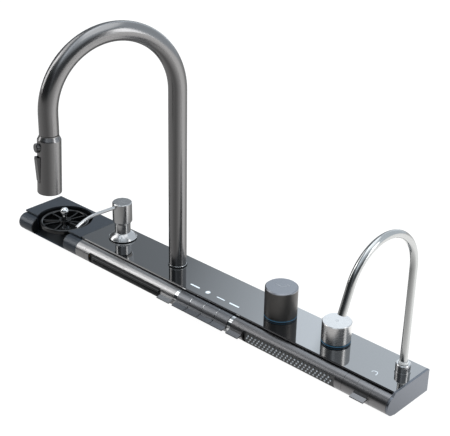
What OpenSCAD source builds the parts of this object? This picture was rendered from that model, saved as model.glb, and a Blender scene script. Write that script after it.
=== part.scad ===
// Kitchen faucet bar that lies along the front edge of a sink.
// It carries a swivelling spout with a pull-down spray head, a soap pump, two lit knobs, a purified
// water spout, a cup rinser and, along its front, turning outlet tubes with four push keys.
// Frame: origin at the middle of the underside, +X to the end plate, +Y to the back, +Z up.

/* [Bar] */
// Height of the panel's top above the deck
bar_h = 31; // [30:0.5:40]
// Distance from the panel's front edge to the bar's back
bar_d = 69.5; // [68:0.5:80]
// Distance from the origin to the bar's back face
back_y = 43.5; // [42:0.5:52]
// Thickness of the glass panel and of the left cover
panel_t = 2.4; // [1.5:0.1:3.5]
// Wall thickness of the housing
wall = 3; // [2:0.25:4]
// Thickness of the plate that closes the underside
base_t = 2; // [1.5:0.25:3]
// Thickness of the end plate
end_t = 3; // [2:0.5:5]

/* [Front tubes] */
// Radius of the front tubes and of the nose
tube_r = 13.4; // [13:0.1:14]
// Distance from the panel's front edge forward to the tubes' axis
tube_fwd = 3.6; // [3:0.1:5]
// Height of the tubes' axis above the deck
tube_z = 14.5; // [14.2:0.1:16]
// Wall thickness of the outlet tubes
tube_wall = 2; // [1.5:0.1:3]
// Radius of the fixed feed pipe that the tubes turn on
feed_r = 8; // [7:0.1:8.2]
// Length of the left cover
cover_l = 132; // [125:1:140]
// Length of the nose left of the rinser
nose_l = 32; // [25:1:45]
// Width of the front opening under the rinser
rinse_gap = 76; // [66:1:82]
// Length of the nose right of the rinser
mid_nose_l = 28.5; // [24:0.5:40]
// Length of the bright collar beside the waterfall tube
collar_l = 19.2; // [12:0.2:30]
// Length of the waterfall tube
fall_l = 187; // [160:1:220]
// Length of each bright ring beside the keys
ring_l = 5.6; // [3:0.2:10]
// Pitch of the keys
key_w = 23.6; // [20:0.2:30]
// Number of keys
key_n = 4; // [4:1:4]
// Length of the rain tube
rain_l = 184; // [160:1:220]
// Length of the dark collar beside the rain tube
collar2_l = 18.8; // [12:0.2:30]
// Length of the side lever's sleeve
lever_l = 21.8; // [16:0.2:30]
// Length of the nose beside the end plate
end_nose_l = 24.7; // [18:0.1:40]
// Length of the finger tab of each outlet tube
tab_l = 23.4; // [18:0.2:26]
// Reach of the finger tabs in front of the tubes
tab_out = 8.6; // [5:0.1:12]

/* [Outlets] */
// Angle of the outlets below level
outlet_deg = 8; // [0:1:20]
// Distance from the waterfall tube's left end to its outlet
fall_in = 9; // [7:0.5:20]
// Distance from the rain outlet to the tube's right end
rain_in = 11; // [8:0.5:20]
// Height of both outlets' openings
outlet_h = 18.8; // [14:0.2:19]
// Pitch of the rain nozzles
nozzle_pitch = 6; // [5:0.2:8]
// Radius of a rain nozzle
nozzle_r = 1.1; // [0.8:0.1:1.3]

/* [Cup rinser] */
// Distance from the left end to the rinser's centre
rinse_x = 66; // [60:0.5:72]
// Radius of the opening in the cover
rinse_r = 43.5; // [40:0.5:43.5]
// Wall thickness of the basin
basin_t = 1.5; // [1:0.1:1.8]
// Outer radius of the wheel
wheel_r = 38; // [34:0.5:39]
// Number of spoke pairs
spoke_n = 5; // [4:1:7]
// Travel of the wheel when a cup presses it
rinse_press = 3; // [2:0.5:4]

/* [Spout] */
// Distance from the left end to the post
post_x = 294.7; // [270:0.5:320]
// Outer radius of the spout tube
neck_r = 12.75; // [11:0.05:14]
// Wall thickness of the spout tube
neck_wall = 2; // [1.5:0.1:3]
// Height at which the bend starts
neck_z = 295.1; // [240:1:350]
// Radius of the spout's bend at the tube's middle
neck_bend = 93.2; // [70:1:110]
// Height of the joint between spout and spray head
seam_z = 269.7; // [240:0.5:280]
// Swing of the spout from straight ahead, positive to the right
swing = -14.65; // [-60:0.05:60]

/* [Spray head] */
// Length of the spray head
head_l = 78.6; // [70:0.5:90]
// Lean of the head out of the upright
head_lean = 2.6; // [0:0.1:3]
// Radius below the shoulder
head_r1 = 15.4; // [14.5:0.05:16]
// Radius at the lower end
head_r2 = 15.75; // [15.5:0.05:17]
// Wall thickness of the shell
head_wall = 2.2; // [1.5:0.1:2.5]
// Radius of the round button
button_r = 6; // [4.5:0.1:7]
// Height of the rocker
rocker_h = 33.5; // [26:0.5:36]
// Width of the rocker
rocker_w = 9; // [7:0.2:11]

/* [Main knob] */
// Distance from the left end to the main knob
knob_x = 489.2; // [470:0.5:510]
// Radius of the main knob
knob_r = 22.2; // [20:0.1:24]
// Height of the main knob's top above the panel
knob_top = 43.6; // [38:0.2:50]
// Travel when the main knob is pressed
knob_press = 0.8; // [0.6:0.1:1.2]

/* [Filter knob] */
// Distance from the left end to the filter knob
filter_x = 580.1; // [560:0.5:600]
// Radius of the filter knob
filter_r = 19.35; // [17:0.05:22]
// Height of the filter knob's top above the panel
filter_top = 29.4; // [24:0.2:36]

/* [Purifier spout] */
// Distance from the end plate to the purifier spout
pure_end = 18.6; // [16:0.2:24]
// Outer radius of the purifier tube
pure_r = 5; // [4:0.1:6]
// Wall thickness of the purifier tube
pure_wall = 1; // [0.8:0.1:1.5]
// Height above the panel at which the bend starts
pure_z = 145.6; // [120:0.2:180]
// Radius of the purifier bend
pure_bend = 61; // [50:0.5:75]
// Angle of the purifier bend
pure_deg = 159.6; // [140:0.5:175]
// Straight length after the bend
pure_tail = 34.5; // [20:0.5:45]
// Swing of the purifier spout, positive to the right
pure_swing = -1.9; // [-20:0.1:20]
// Radius of the collar at its foot
pure_collar_r = 9.5; // [8:0.1:11]

/* [Soap pump] */
// Distance from the left end to the soap pump
soap_x = 176.7; // [168:0.5:200]
// Radius of the flange
flange_r = 20.8; // [18:0.1:22]
// Radius of the neck
soap_neck_r = 11.75; // [10:0.05:13]
// Radius of the pump cap
cap_r = 14.6; // [13:0.1:16]
// Height of the cap's top above the panel
cap_top = 58.6; // [54:0.2:64]
// Travel of the pump
pump_stroke = 14; // [8:0.5:14]
// Radius of the nozzle tube
spout_r = 2.5; // [2:0.1:3.2]
// Reach of the nozzle from the pump's axis
spout_reach = 87; // [70:1:100]

/* [Underside] */
// Tapping radius of the water inlets
inlet_r = 4.5; // [4:0.1:5]
// Depth of the water inlets
inlet_l = 12; // [8:0.5:14]
// Tapping radius of the fixing holes
fix_r = 2.5; // [2:0.1:3]
// Distance between the two fixing holes
fix_pitch = 400; // [380:1:410]

/* [Hidden] */
$fn = 96;

// Clearances
fit = 0.05;
free = 0.3;
seam = 0.3;

// Stations along the bar, from the left end
keys_l = key_n * key_w;
bar_l = nose_l + rinse_gap + mid_nose_l + collar_l + fall_l + 2 * ring_l + keys_l + rain_l
  + collar2_l + lever_l + end_nose_l + 8 * seam;
x_left = -(bar_l + end_t) / 2;
x_right = x_left + bar_l;
x_gap = x_left + nose_l;
x_mid = x_gap + rinse_gap;
x_collar = x_mid + mid_nose_l;
x_fall = x_collar + collar_l + seam;
x_ring1 = x_fall + fall_l + seam;
x_keys = x_ring1 + ring_l + seam;
x_ring2 = x_keys + keys_l;
x_rain = x_ring2 + ring_l + seam;
x_collar2 = x_rain + rain_l + seam;
x_lever = x_collar2 + collar2_l + seam;
x_end = x_lever + lever_l + seam;

// Levels and depths
front_y = back_y - bar_d;
tube_y = front_y - tube_fwd;
deck_top = bar_h - panel_t;
channel_r = tube_r + 0.6;
face_y = front_y + 2;
cavity_y = tube_y + channel_r + wall;
cavity_top = deck_top - wall;
row_y = front_y + 40.6;
lip_z = 5.5;
floor_z = 3.5;
sill_y = tube_y - 6;
seam_x = x_left + cover_l;

// Places of what stands on the panel
function at_x(d) = x_left + d;
rinse_c = [at_x(rinse_x), front_y + 22.5];
soap_c = [at_x(soap_x), row_y + 2];
post_c = [at_x(post_x), row_y];
knob_c = [at_x(knob_x), row_y - 1.9];
filter_c = [at_x(filter_x), row_y];
pure_c = [x_right - pure_end, row_y + 2];
fix_x = at_x(431.5);
inlet_x = [at_x(371.5), at_x(403.5)];

module at(p, z = 0) { translate([p[0], p[1], z]) children(); }

// Turns a drawing of Y and Z into a bar along X from x0, length l
module along(x0, l) {
  translate([x0, 0, 0]) rotate([90, 0, 90]) linear_extrude(l) children();
}

module rod(x0, l, r) {
  translate([x0, tube_y, tube_z]) rotate([0, 90, 0]) cylinder(h = l, r = r);
}

module ring(h, ro, ri) {
  difference() {
    cylinder(h = h, r = ro);
    translate([0, 0, -1]) cylinder(h = h + 2, r = ri);
  }
}

// Open tube with flush ends, to be joined face to face
module tube(h, ro, ri) {
  linear_extrude(h) difference() {
    circle(r = ro);
    circle(r = ri);
  }
}

module rounded(l, w, r) {
  square([l - 2 * r, w], center = true);
  square([l, w - 2 * r], center = true);
  for (x = [-1, 1], y = [-1, 1])
    translate([x * (l / 2 - r), y * (w / 2 - r)]) circle(r = r);
}

// One closed coil: rings of six points carried along a helix
module coil(r, wire, h, turns) {
  seg = 12;
  n = round(turns * seg);
  sides = 6;
  pts = [for (i = [0:n], k = [0:sides - 1])
    let (a = 360 * turns * i / n, b = 360 * k / sides, q = r + wire * cos(b))
    [q * cos(a), q * sin(a), wire + (h - 2 * wire) * i / n + wire * sin(b)]];
  quads = [for (i = [0:n - 1], k = [0:sides - 1])
    let (m = (k + 1) % sides)
    [i * sides + k, (i + 1) * sides + k, (i + 1) * sides + m, i * sides + m]];
  ends = [[for (k = [0:sides - 1]) k], [for (k = [sides - 1:-1:0]) n * sides + k]];
  polyhedron(points = pts, faces = concat(quads, ends));
}

/* Housing */

// Outline of the nose: the tubes' circle with a flat foot behind it
module nose_outline() {
  translate([tube_y, tube_z]) circle(r = tube_r);
  translate([tube_y, 0]) square([back_y - tube_y, tube_z]);
}

// Rounded left end of the nose
nose_round = 2.5;
module nose_end() {
  translate([x_left + nose_round, tube_y, tube_z]) rotate([0, -90, 0]) rotate_extrude() {
    square([tube_r - nose_round, nose_round]);
    intersection() {
      translate([tube_r - nose_round, 0]) circle(r = nose_round);
      square([tube_r, nose_round]);
    }
  }
}

module body_outline() {
  translate([face_y, 0]) square([back_y - face_y, deck_top]);
}

module through_holes() {
  at(soap_c, cavity_top - 1) cylinder(h = wall + 2, r = 9.3);
  at(post_c, cavity_top - 1) cylinder(h = wall + 2, r = 10.7 + fit);
  at(knob_c, cavity_top - 1) cylinder(h = wall + 2, r = 10 + fit);
  at(filter_c, cavity_top - 1) cylinder(h = wall + 2, r = 9 + fit);
  at(pure_c, cavity_top - 1) cylinder(h = wall + 2, r = 6.5 + fit);
}

module fix_posts(r, z0, h) {
  for (s = [-0.5, 0.5]) translate([fix_x + s * fix_pitch, row_y, z0]) cylinder(h = h, r = r);
}

module base_housing() color("#2b3138") {
  difference() {
    union() {
      along(x_left, bar_l) body_outline();
      along(x_left + nose_round, nose_l + rinse_gap + mid_nose_l - nose_round) nose_outline();
      nose_end();
    }
    // Channel behind the turning tubes
    rod(x_collar, bar_l, channel_r);
    // Pocket of the rinser, open to the front over a low sill
    intersection() {
      at(rinse_c, floor_z) cylinder(h = bar_h, r = rinse_r + basin_t + fit);
      translate([x_left, sill_y, 0]) cube([bar_l, back_y - sill_y, bar_h * 2]);
    }
    translate([x_gap, tube_y - tube_r - 1, lip_z])
      cube([rinse_gap, rinse_c[1] - tube_y + tube_r + 1, bar_h]);
    // Room for the waterways and the board, closed by the bottom plate
    difference() {
      translate([x_collar + 6, cavity_y, base_t])
        cube([bar_l - (x_collar - x_left) - 6 - wall, back_y - wall - cavity_y,
          cavity_top - base_t]);
      fix_posts(7, base_t, cavity_top - base_t);
    }
    translate([x_collar + 3, cavity_y - 2, -1])
      cube([bar_l - (x_collar - x_left) - 6, back_y - cavity_y, base_t + 1]);
    fix_posts(fix_r, -1, 15);
    through_holes();
    // Socket of the feed pipe
    rod(x_collar - 12, 13, feed_r + fit);
  }
}

// Plates that close the underside, with open slots where the hoses and the suction tube come in
slot_r = inlet_r + 5;
plate_x0 = x_collar + 3 + fit;
plate_x1 = x_right - 3 - fit;
plate_ends = [[plate_x0, soap_c[0] - slot_r], [soap_c[0] + slot_r, inlet_x[0] - slot_r],
  [inlet_x[1] + slot_r, pure_c[0] - slot_r], [pure_c[0] + slot_r, plate_x1]];
module bottom_plate() color("#8c9095") difference() {
  for (e = plate_ends) translate([e[0], cavity_y - 2 + fit, 0])
    cube([e[1] - e[0], back_y - cavity_y - 2 * fit, base_t]);
  fix_posts(fix_r + 0.8, -1, base_t + 2);
}

module end_outline() {
  translate([tube_y, tube_z]) circle(r = tube_r);
  polygon([[tube_y, tube_z - tube_r + 0.1], [tube_y + 2, 0], [back_y - 0.2, 0], [back_y - 0.2, bar_h],
    [back_y - 1.2, bar_h + 1], [front_y - 2.3, bar_h + 1],
    [tube_y - 3.6, tube_z + tube_r - 0.6], [tube_y - 4, tube_z]]);
}

module end_plate() color("#92969c") along(x_right, end_t) end_outline();

module left_cover() color("#434a52") difference() {
  translate([x_left, front_y - 1.5, deck_top])
    cube([seam_x - x_left - 0.25, bar_d + 1.5, panel_t]);
  at(rinse_c, deck_top - 1) cylinder(h = panel_t + 2, r = rinse_r);
}

module glass_panel() color("#15181c") difference() {
  translate([seam_x, front_y, deck_top]) cube([x_right - seam_x, bar_d, panel_t]);
  at(soap_c, deck_top - 1) cylinder(h = panel_t + 2, r = 9.3);
  at(post_c, deck_top - 1) cylinder(h = panel_t + 2, r = 10.7 + fit);
  at(knob_c, deck_top - 1) cylinder(h = panel_t + 2, r = 10 + fit);
  at(filter_c, deck_top - 1) cylinder(h = panel_t + 2, r = 9 + fit);
  at(pure_c, deck_top - 1) cylinder(h = panel_t + 2, r = 6.5 + fit);
}

// Printed marks: three bars and a dot over the keys, and a small tap sign at the purifier
mark_t = 0.1;
mark_y = front_y + 13.4;
mark_l = 17.5;
mark_w = 2.5;
mark_x = [356.2, 380.6, 404.7, 429.2];
sign_r = 4.4;
sign_end = 41.2;
module bar_mark(d, l, w) {
  translate([at_x(d), mark_y, bar_h]) linear_extrude(mark_t) rounded(l, w, w / 2 - 0.01);
}
module panel_marks() color("#dfe8ee") {
  bar_mark(mark_x[0], mark_l, mark_w);
  at([at_x(mark_x[1]), mark_y], bar_h) cylinder(h = mark_t, r = 3.4);
  bar_mark(mark_x[2], mark_l - 3, mark_w - 0.8);
  bar_mark(mark_x[3], mark_l, mark_w);
  translate([x_right - sign_end, mark_y + 2, bar_h]) linear_extrude(mark_t) {
    difference() {
      circle(r = sign_r);
      circle(r = sign_r - 0.8);
      translate([-2 * sign_r, -12]) square([4 * sign_r, 12]);
    }
    translate([sign_r - 0.8, -3]) square([0.8, 3.2]);
  }
}

/* Cup rinser */

module rinser_basin() color("#101214") {
  difference() {
    union() {
      intersection() {
        at(rinse_c, floor_z) cylinder(h = deck_top - floor_z, r = rinse_r + basin_t);
        translate([x_left, sill_y + fit, 0]) cube([bar_l, back_y - sill_y, bar_h]);
      }
      // Cheeks that line the cut ends of the nose
      for (x = [x_gap + fit, x_mid - 1.2 - fit]) difference() {
        rod(x, 1.2, tube_r - 0.4);
        translate([x - 1, tube_y - tube_r, 0]) cube([4, 2 * tube_r, lip_z + fit]);
      }
    }
    at(rinse_c, floor_z + basin_t) cylinder(h = bar_h, r = rinse_r - fit);
    // Way out to the front between the cheeks
    translate([x_gap + 1.2 + fit, sill_y - 1, lip_z])
      cube([rinse_gap - 2.4 - 2 * fit, rinse_c[1] - sill_y, bar_h]);
    // What would stand in the noses
    for (x = [x_gap - 20 + fit, x_mid - fit]) translate([x, sill_y - 1, floor_z - 1])
      cube([20, front_y + 4 - sill_y, bar_h]);
  }
  at(rinse_c, floor_z) rinser_guide();
}

module rinser_guide() {
  difference() {
    cylinder(h = 9, r = 8);
    translate([0, 0, 2]) cylinder(h = 9, r = 4 + fit);
  }
}

// One curved spoke: its middle line leaves the hub and bends away from the pair's axis
spoke_steps = 10;
spoke_in = 7;
function spoke_r(t) = spoke_in + (wheel_r - 4 - spoke_in) * t;
function spoke_a(t) = 13 - 4 * t + 5.5 * t * t;
module spoke(side) {
  w = 1.25;
  up = [for (i = [0:spoke_steps]) let (t = i / spoke_steps, r = spoke_r(t),
    a = side * spoke_a(t), k = side * w) [r * cos(a) - k * sin(a), r * sin(a) + k * cos(a)]];
  dn = [for (i = [spoke_steps:-1:0]) let (t = i / spoke_steps, r = spoke_r(t),
    a = side * spoke_a(t), k = side * w) [r * cos(a) + k * sin(a), r * sin(a) - k * cos(a)]];
  polygon(concat(up, dn));
}

wheel_top = bar_h - 3;
module rinser_wheel() color("#17191c") at(rinse_c, wheel_top - 6) difference() {
  union() {
    // Rim with a rounded top
    rotate_extrude() {
      translate([wheel_r - 4.4, 0]) square([4.4, 4]);
      translate([wheel_r - 2.2, 3.8]) circle(r = 2.2);
    }
    for (i = [0:spoke_n - 1]) rotate([0, 0, 360 * i / spoke_n + 90]) translate([0, 0, 1.4])
      linear_extrude(3.2) { spoke(1); spoke(-1); }
    cylinder(h = 6.5, r = 9);
    translate([0, 0, 6.5]) cylinder(h = 5.5, r1 = 5.5, r2 = 3.3);
  }
  translate([0, 0, -1]) cylinder(h = 14, r = 2.6);
  for (i = [0:spoke_n - 1]) rotate([0, 0, 360 * (i + 0.5) / spoke_n + 90])
    translate([6.3, 0, 4.8]) cylinder(h = 3, r = 1.3);
}

module rinser_stem() color("#6f7478") at(rinse_c, 0) {
  translate([0, 0, 9]) cylinder(h = wheel_top - 6 - 9, r = 4);
  translate([0, 0, wheel_top - 6]) cylinder(h = 12.2, r = 2.6 - fit);
}

module rinser_nozzle() color("#e4e6e8") at(rinse_c, wheel_top + 6.2) difference() {
  union() {
    cylinder(h = 3.2, r = 3.2);
    translate([0, 0, 8.2]) sphere(r = 6.5);
  }
  translate([0, 0, 8.2]) for (a = [0:60:300]) rotate([0, 0, a]) rotate([0, 38, 0])
    cylinder(h = 8, r = 0.7);
  translate([0, 0, 8.2]) cylinder(h = 8, r = 0.8);
}

spring_z = 12.5;
module rinser_spring() color("#9aa0a5")
  at(rinse_c, spring_z + 0.2) coil(5.4, 0.5, wheel_top - 6 - spring_z - 0.4, 5);

/* Soap pump */

module soap_gasket() color("#0c0d0e") at(soap_c, bar_h) ring(1.6, flange_r + 0.3, soap_neck_r);

dome_dn = 12;
module soap_flange() color("#c9cccd") at(soap_c, bar_h + 1.6) difference() {
  union() {
    // Dome that rises to the neck
    rotate_extrude() intersection() {
      translate([0, -dome_dn]) circle(r = norm([flange_r, dome_dn]));
      square([flange_r, 20]);
    }
    cylinder(h = cap_top - cap_h - pump_stroke + 11.7, r = soap_neck_r);
  }
  translate([0, 0, -1]) cylinder(h = 60, r = 8 + fit);
}

barrel_z = base_t + 0.3;
module pump_barrel() color("#2c2f31") at(soap_c, 0) difference() {
  union() {
    translate([0, 0, barrel_z]) cylinder(h = bar_h + 20 - barrel_z, r = 8);
    translate([0, 0, cavity_top - 3]) cylinder(h = 3 - fit, r = 11);
  }
  translate([0, 0, barrel_z + 5]) cylinder(h = 80, r = 6.5);
  translate([0, 0, -1]) cylinder(h = 20, r = 3);
}

cap_h = 33;
nozzle_dn = 5.6;
piston_z = bar_h + 4;
module pump_cap() color("#c9cccd") at(soap_c, bar_h + cap_top - cap_h) difference() {
  union() {
    cylinder(h = 3, r1 = cap_r - 1.8, r2 = cap_r);
    translate([0, 0, 3]) cylinder(h = cap_h - 4, r = cap_r);
    translate([0, 0, cap_h - 1]) cylinder(h = 1, r1 = cap_r, r2 = cap_r - 1);
  }
  translate([0, 0, -1]) cylinder(h = cap_h - 13, r = soap_neck_r + free);
  translate([0, 0, cap_h - 15]) cylinder(h = 6.4, r = 3.5 + fit);
  // Socket of the nozzle
  translate([0, 0, cap_h - nozzle_dn]) rotate([90 - spout_rise, 0, 0]) translate([0, 0, 3])
    cylinder(h = cap_r + 2, r = spout_r + fit);
}

stem_top = bar_h + cap_top - 8.7;
module pump_stem() color("#d8dadc") at(soap_c, 0) {
  translate([0, 0, piston_z]) cylinder(h = stem_top - piston_z, r = 3.5);
  translate([0, 0, piston_z]) cylinder(h = 5, r = 6.5 - fit);
}

spout_rise = 3;
spout_arc = 80;
spout_drop = 29;
module nozzle_route(ro, ri) {
  l1 = spout_reach - spout_arc * sin(spout_drop);
  translate([0, -3.5, 0]) rotate([90, 0, 0]) tube(l1 - 3.5, ro, ri);
  translate([0, -l1, -spout_arc]) rotate([90, 0, 90])
    rotate_extrude(angle = spout_drop, start = 90) translate([spout_arc, 0]) difference() {
      circle(r = ro);
      circle(r = ri);
    }
}
module pump_nozzle() color("#d4d6d7") at(soap_c, bar_h + cap_top - nozzle_dn)
  rotate([-spout_rise, 0, 0]) nozzle_route(spout_r, spout_r - 0.7);

module pump_spring() color("#9aa0a5")
  at(soap_c, barrel_z + 5.2) coil(5, 0.6, piston_z - barrel_z - 5.4, 7);

/* Spout, all in the plane of its swing */

module spout_frame() { at(post_c) rotate([0, 0, swing]) children(); }
module end_frame() { spout_frame() translate([0, -2 * neck_bend, 0]) children(); }
// The head leans a little about the middle of its joint
module head_frame() {
  end_frame() translate([0, 0, seam_z]) rotate([-head_lean, 0, 0]) translate([0, 0, -seam_z]) children();
}

module post_ring() color("#0e0f10") at(post_c, bar_h) ring(1, neck_r + 0.9, 10.7 + fit);

spigot_h = 45;
module post_spigot() color("#b58f4a") at(post_c, 0) difference() {
  union() {
    translate([0, 0, cavity_top - 6]) cylinder(h = 6, r = neck_r + 0.75);
    translate([0, 0, cavity_top]) cylinder(h = bar_h + spigot_h - cavity_top, r = neck_r - neck_wall - fit);
  }
  cylinder(h = bar_h + 60, r = hose_r + free);
}

// Half turn over the top; with ri it is a tube
module bend(r, ri = 0) {
  translate([0, -neck_bend, neck_z]) rotate([90, 0, 90]) rotate_extrude(angle = 180)
    translate([neck_bend, 0]) difference() {
      circle(r = r);
      if (ri > 0) circle(r = ri);
    }
}

neck_foot = bar_h + 1.2;
module gooseneck() color("#6b6a68") spout_frame() {
  translate([0, 0, neck_foot]) tube(neck_z - neck_foot, neck_r, neck_r - neck_wall);
  bend(neck_r, neck_r - neck_wall);
  translate([0, -2 * neck_bend, seam_z]) tube(neck_z - seam_z, neck_r, neck_r - neck_wall);
}

hose_r = 7;
module spray_hose() color("#3a3c3e") spout_frame() {
  translate([0, 0, cavity_top - 5]) cylinder(h = neck_z - cavity_top + 5, r = hose_r);
  bend(hose_r);
}

head_gap = 0.9;
head_z = seam_z - head_gap - head_l;
plug_z = seam_z + 7;
plug_r = 7.7;
module hose_end() color("#3a3c3e") end_frame()
  translate([0, 0, plug_z]) cylinder(h = neck_z - plug_z, r = hose_r);

/* Spray head */

shoulder_z = head_l - 7.4;
button_z = head_l - 15.8;
rocker_z = head_l - 44.7;
pin_y = -8.6;
pin_r = 1;
module head_shell() color("#6e6d6b") head_frame() translate([0, 0, head_z]) difference() {
  rotate_extrude() polygon([[0, 0], [head_r2 - 1, 0], [head_r2 - 0.3, 0.3], [head_r2, 1],
    [head_r2, 3], [head_r1, head_l - 6.6], [head_r1 - 0.4, head_l - 5.4],
    [neck_r + 0.4, head_l - 1.8], [neck_r, head_l - 1], [neck_r, head_l], [0, head_l]]);
  translate([0, 0, -1]) cylinder(h = shoulder_z + 1, r = head_r1 - head_wall);
  translate([0, 0, -1]) cylinder(h = 4, r = head_r2 - 1.6);
  translate([0, 0, head_l - 20]) cylinder(h = 21, r = plug_r + fit);
  // Openings of the button and the rocker
  translate([0, 0, button_z]) rotate([90, 0, 0]) cylinder(h = 30, r = button_r + free);
  translate([-rocker_w / 2 - free, -30, rocker_z - rocker_h / 2 - 3 * free])
    cube([rocker_w + 2 * free, 30, rocker_h + 6 * free]);
}

core_r = head_r1 - head_wall - fit;
module head_core() color("#23262a") head_frame() translate([0, 0, head_z]) difference() {
  union() {
    translate([0, 0, 8]) cylinder(h = shoulder_z - 8 - fit, r = core_r);
    translate([0, 0, shoulder_z - fit])
      cylinder(h = plug_z - 0.7 - head_z - shoulder_z, r = plug_r);
  }
  translate([0, 0, 14]) cylinder(h = head_l + 20, r = 4);
  // Flat pocket behind the button and the rocker
  translate([-button_r - 1.5, -30, rocker_z - rocker_h / 2 - 1.5])
    cube([2 * button_r + 3, 25, button_z + button_r - rocker_z + rocker_h / 2 + 3]);
  translate([-core_r, pin_y, rocker_z]) rotate([0, 90, 0]) cylinder(h = 2 * core_r, r = pin_r + fit);
}

module spray_face() color("#3b3d40") head_frame() translate([0, 0, head_z + 0.8]) difference() {
  union() {
    cylinder(h = 2.1, r = head_r2 - 1.6 - fit);
    cylinder(h = 7, r = core_r);
  }
  translate([0, 0, -1]) cylinder(h = 9, r = 4);
  for (k = [0:1], a = [0:24:359]) rotate([0, 0, a + 12 * k]) translate([6.6 + 3.4 * k, 0, -1])
    cylinder(h = 3, r = 0.6);
}

module head_button() color("#121315") head_frame() translate([0, 0, head_z + button_z])
  rotate([90, 0, 0]) {
    translate([0, 0, 9.4]) cylinder(h = 9.2, r = button_r);
    translate([0, 0, 18.6]) cylinder(h = 0.8, r1 = button_r, r2 = button_r - 0.8);
    translate([0, 0, 8]) cylinder(h = 1.4, r = button_r + 1.2);
  }

// Wedge that stands proud at its upper end and is flush at its lower end, on a lug for its pin
module head_rocker() color("#121315") head_frame() translate([0, 0, head_z + rocker_z])
  difference() {
    union() {
      translate([-rocker_w / 2, 0, 0]) rotate([90, 0, 90]) linear_extrude(rocker_w)
        polygon([[-9.9, -rocker_h / 2 + 1], [-head_r1 - 0.4, -rocker_h / 2],
          [-head_r1 - 3.3, rocker_h / 2 - 5], [-head_r1 - 3.5, rocker_h / 2 - 2.5],
          [-head_r1 - 2.8, rocker_h / 2], [-9.9, rocker_h / 2 - 1]]);
      translate([-rocker_w / 2 + 1, -10.6, -2.5]) cube([rocker_w - 2, 12.5 + pin_y, 5]);
    }
    translate([-rocker_w, pin_y, 0]) rotate([0, 90, 0]) cylinder(h = 2 * rocker_w, r = pin_r + fit);
  }

pin_l = 2 * sqrt(pow(core_r - free, 2) - pow(pin_r - pin_y, 2));
module rocker_pin() color("#9aa0a5") head_frame() translate([0, 0, head_z + rocker_z])
  translate([-pin_l / 2, pin_y, 0]) rotate([0, 90, 0]) cylinder(h = pin_l, r = pin_r);

// Bush in the spout's end that the head docks in
module dock_bush() color("#1b1c1e") end_frame() translate([0, 0, seam_z])
  ring(6.5, neck_r - neck_wall - fit, 8 + free);

/* Main knob */

foot_t = 1;
light_t = 0.7;
// Light rings at the feet of both knobs
module knob_lights() color("#7db4dc") {
  at(knob_c, bar_h + foot_t) ring(light_t, knob_r, 10 + fit);
  at(filter_c, bar_h + foot_t) ring(light_t, filter_r, filter_r - 1.6 + fit);
}

cart_r = 15;
neck_top = bar_h + 3;
module main_cartridge() color("#b9bcc0") at(knob_c, 0) difference() {
  union() {
    translate([0, 0, base_t + 1]) cylinder(h = cavity_top - base_t - 1 - fit, r = cart_r);
    translate([0, 0, cavity_top - 1]) cylinder(h = neck_top - cavity_top + 1, r = 10);
  }
  translate([0, 0, 8]) cylinder(h = 40, r = 4 + fit);
}

module main_stem() color("#c9ccd0") at(knob_c, 0) {
  translate([0, 0, 12]) cylinder(h = bar_h + knob_top - 12 - 12, r = 4);
}

knob_foot = bar_h + foot_t + light_t + knob_press + 0.2;
cap_t = 2.2;
module main_knob() color("#454442") at(knob_c, 0) difference() {
  translate([0, 0, knob_foot]) cylinder(h = bar_h + knob_top - cap_t - knob_foot, r = knob_r);
  // Hollow round the hub
  translate([0, 0, knob_foot - 1]) difference() {
    cylinder(h = knob_top - cap_t - 5, r = knob_r - 2.5);
    translate([0, 0, 8]) cylinder(h = knob_top, r = 8);
  }
  translate([0, 0, knob_foot - 1]) cylinder(h = bar_h + knob_top - 12 - knob_foot + 1 + fit,
    r = 4 + fit);
}

module main_knob_top() color("#8f9196") at(knob_c, bar_h + knob_top - cap_t) {
  cylinder(h = cap_t - 1.2, r = knob_r);
  translate([0, 0, cap_t - 1.2]) cylinder(h = 1.2, r1 = knob_r, r2 = knob_r - 1.4);
}

module main_spring() color("#9aa0a5")
  at(knob_c, neck_top + 0.1) coil(6, 0.5, knob_foot + 7 - neck_top - 0.2, 3);

/* Filter knob */

// Black feet under the light rings of both knobs
module knob_bases() color("#0b0c0d") {
  at(knob_c, bar_h) ring(foot_t, knob_r, 10 + fit);
  at(filter_c, bar_h) {
    ring(foot_t, filter_r, 9 + fit);
    translate([0, 0, foot_t]) ring(2.1, filter_r - 1.6, 9 + fit);
  }
}

module filter_cartridge() color("#b58f4a") at(filter_c, 0) {
  translate([0, 0, base_t + 1]) cylinder(h = cavity_top - base_t - 1 - fit, r = 13);
  translate([0, 0, cavity_top - 1]) cylinder(h = bar_h + 3 - cavity_top + 1, r = 9);
  translate([0, 0, bar_h + 2]) cylinder(h = filter_top - 8, r = 4);
}

module filter_knob() color("#c6c8c9") at(filter_c, bar_h + 3.4) difference() {
  union() {
    cylinder(h = filter_top - 3.4 - 0.8, r = filter_r);
    translate([0, 0, filter_top - 4.2]) cylinder(h = 0.8, r1 = filter_r, r2 = filter_r - 0.8);
  }
  difference() {
    translate([0, 0, -1]) cylinder(h = filter_top - 6.4, r = filter_r - 2.5);
    translate([0, 0, 0.4]) cylinder(h = filter_top, r = 8);
  }
  translate([0, 0, -1]) cylinder(h = filter_top - 8, r = 4 + fit);
}

/* Purifier spout */

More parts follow.
